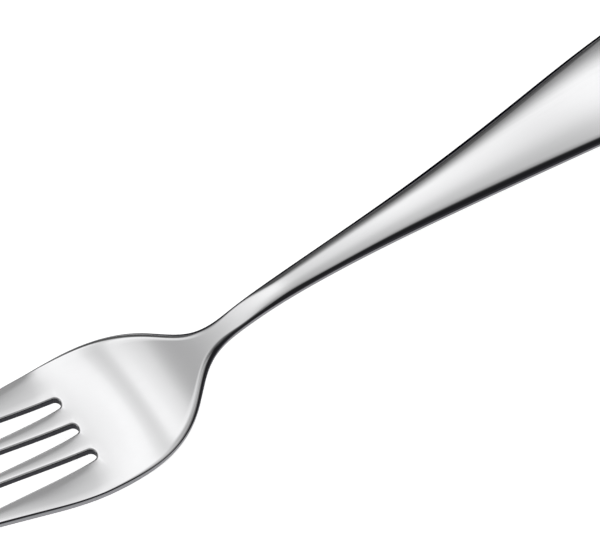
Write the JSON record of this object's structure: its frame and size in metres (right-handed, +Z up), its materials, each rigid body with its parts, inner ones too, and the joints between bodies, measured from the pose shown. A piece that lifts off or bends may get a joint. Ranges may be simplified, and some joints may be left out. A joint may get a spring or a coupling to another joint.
{
  "type": "fruit fork",
  "caption": "Small stainless steel table fork in one piece: slotted dished head with tapering tines, slim arched neck and a drop-shaped crowned handle.",
  "frame": {"origin": "centre of the overall box, on the table that the fork rests on", "axes": "+X along the fork from the tine tips to the handle's end, +Y across it, +Z up from the table, with the hollow side of the head up"},
  "size_m": [0.165, 0.0242, 0.0144],
  "materials": {
    "stainless_steel": "polished"
  },
  "bodies": {
    "root": {"fork": "stainless_steel"}
  },
  "joints": []
}
